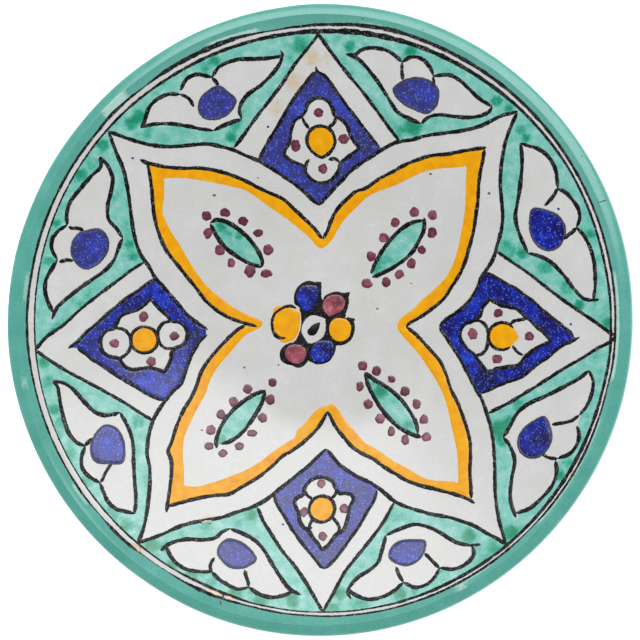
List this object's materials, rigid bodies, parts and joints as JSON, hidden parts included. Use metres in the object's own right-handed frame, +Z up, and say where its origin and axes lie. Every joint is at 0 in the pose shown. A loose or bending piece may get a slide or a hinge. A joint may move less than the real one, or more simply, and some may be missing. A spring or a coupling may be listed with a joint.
{
  "type": "hand painted ceramic plate",
  "caption": "Round ceramic plate with a wide flared wall, a rounded coloured rim, a foot ring and a hand painted star pattern under glossy glaze.",
  "frame": {"origin": "centre of the foot ring's resting plane, on the plate's axis", "axes": "+Z up along the plate's axis, out of the dish; +Y towards the north tent of the painted star"},
  "size_m": [0.1998, 0.1998, 0.0331],
  "materials": {
    "fired_clay": "unglazed, matte, fine grain",
    "white_glaze": "glossy tin glaze",
    "turquoise_glaze": "glossy copper glaze",
    "turquoise_wash": "glossy, uneven brushed wash",
    "black_line": "satin brushed line",
    "saffron": "glossy brushed colour",
    "cobalt": "glossy brushed colour",
    "rose": "glossy brushed colour"
  },
  "bodies": {
    "root": {"back_glaze": "white_glaze", "base_glaze": "white_glaze", "clay_body": "fired_clay", "cobalt_bud_east_1": "cobalt", "cobalt_bud_east_2": "cobalt", "cobalt_bud_north_1": "cobalt", "cobalt_bud_north_2": "cobalt", "cobalt_bud_south_1": "cobalt", "cobalt_bud_south_2": "cobalt", "cobalt_bud_west_1": "cobalt", "cobalt_bud_west_2": "cobalt", "cobalt_lozenge_east": "cobalt", "cobalt_lozenge_north": "cobalt", "cobalt_lozenge_south": "cobalt", "cobalt_lozenge_west": "cobalt", "face_glaze": "white_glaze", "inner_star_line": "black_line", "leaf_line_north_east": "black_line", "leaf_line_north_west": "black_line", "leaf_line_south_east": "black_line", "leaf_line_south_west": "black_line", "outer_ring_line": "black_line", "palmette_line_east_1": "black_line", "palmette_line_east_2": "black_line", "palmette_line_north_1": "black_line", "palmette_line_north_2": "black_line", "palmette_line_south_1": "black_line", "palmette_line_south_2": "black_line", "palmette_line_west_1": "black_line", "palmette_line_west_2": "black_line", "petal_cobalt_bottom": "cobalt", "petal_cobalt_top": "cobalt", "petal_rose_left": "rose", "petal_rose_right": "rose", "petal_saffron_left": "saffron", "petal_saffron_right": "saffron", "rim_glaze": "turquoise_glaze", "rosette_pupil": "black_line", "rosette_web": "black_line", "saffron_band": "saffron", "saffron_boss_east": "saffron", "saffron_boss_north": "saffron", "saffron_boss_south": "saffron", "saffron_boss_west": "saffron", "star_and_tent_lines": "black_line", "turquoise_ground_east_1": "turquoise_wash", "turquoise_ground_east_2": "turquoise_wash", "turquoise_ground_north_1": "turquoise_wash", "turquoise_ground_north_2": "turquoise_wash", "turquoise_ground_south_1": "turquoise_wash", "turquoise_ground_south_2": "turquoise_wash", "turquoise_ground_west_1": "turquoise_wash", "turquoise_ground_west_2": "turquoise_wash", "turquoise_leaf_north_east": "turquoise_wash", "turquoise_leaf_north_west": "turquoise_wash", "turquoise_leaf_south_east": "turquoise_wash", "turquoise_leaf_south_west": "turquoise_wash"}
  },
  "joints": []
}
